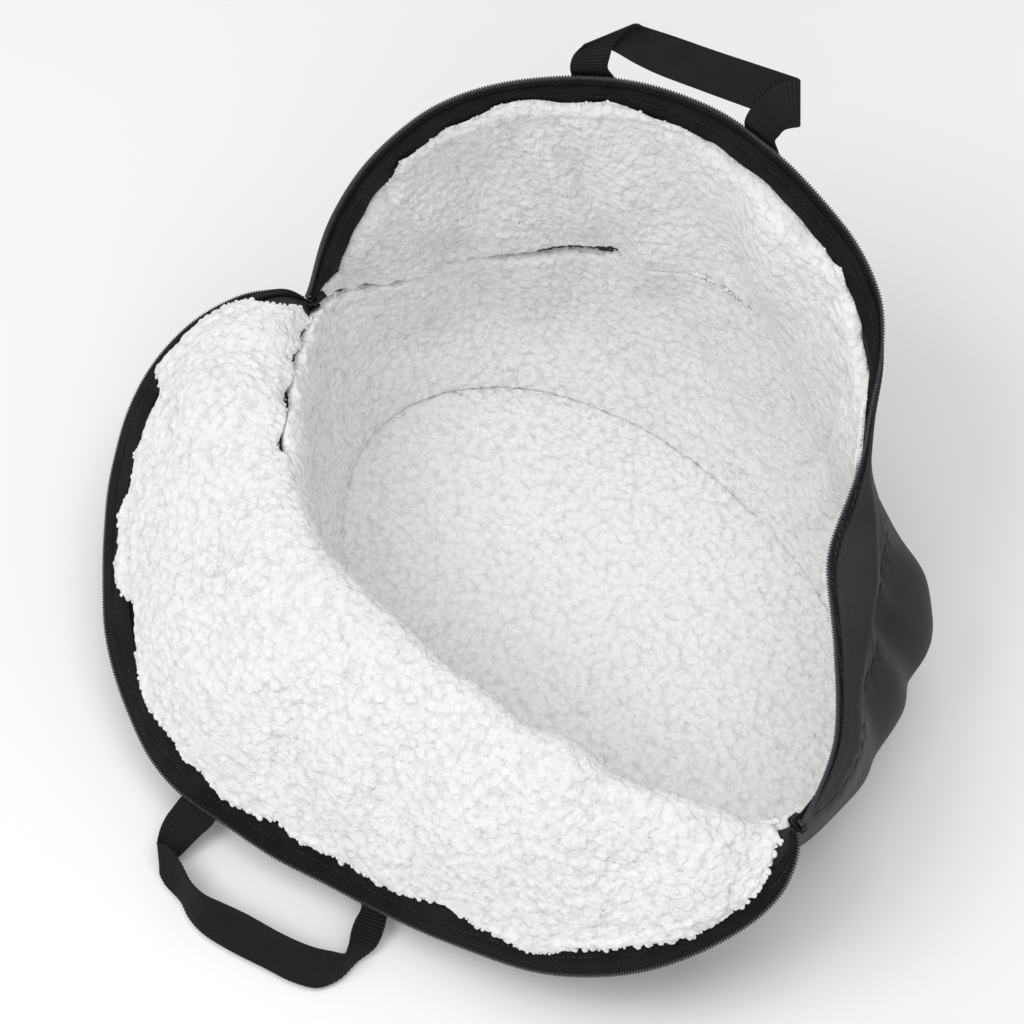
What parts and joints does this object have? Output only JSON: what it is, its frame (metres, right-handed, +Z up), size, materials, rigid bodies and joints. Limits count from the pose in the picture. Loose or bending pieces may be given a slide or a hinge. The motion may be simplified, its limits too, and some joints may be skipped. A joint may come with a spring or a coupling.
{
  "type": "zipped soft carry bag",
  "caption": "Soft round-ended carry bag standing open, nylon outside and sherpa fleece inside, its front half folded out and a webbing handle on each half.",
  "frame": {"origin": "centre of the base, on the surface the bag stands on", "axes": "+X along the bag from its left zip end to its right one, +Y towards the standing back half, +Z up"},
  "size_m": [0.5138, 0.4992, 0.3306],
  "materials": {
    "nylon": "matt woven",
    "fleece": "sherpa pile",
    "facing": "matt twill",
    "zip_tape": "ribbed",
    "zip_coil": "satin",
    "webbing": "ribbed",
    "slider": "satin"
  },
  "bodies": {
    "root": {"tub_wall": "nylon", "base_panel": "nylon", "front_panel": "nylon", "back_panel": "nylon", "tub_lining": "fleece", "base_lining": "fleece", "front_lining": "fleece", "back_lining": "fleece", "front_facing": "facing", "back_facing": "facing", "front_zip_tape": "zip_tape", "back_zip_tape": "zip_tape", "front_zip_coil": "zip_coil", "back_zip_coil": "zip_coil", "front_handle": "webbing", "back_handle": "webbing", "left_slider": "slider", "right_slider": "slider"}
  },
  "joints": []
}
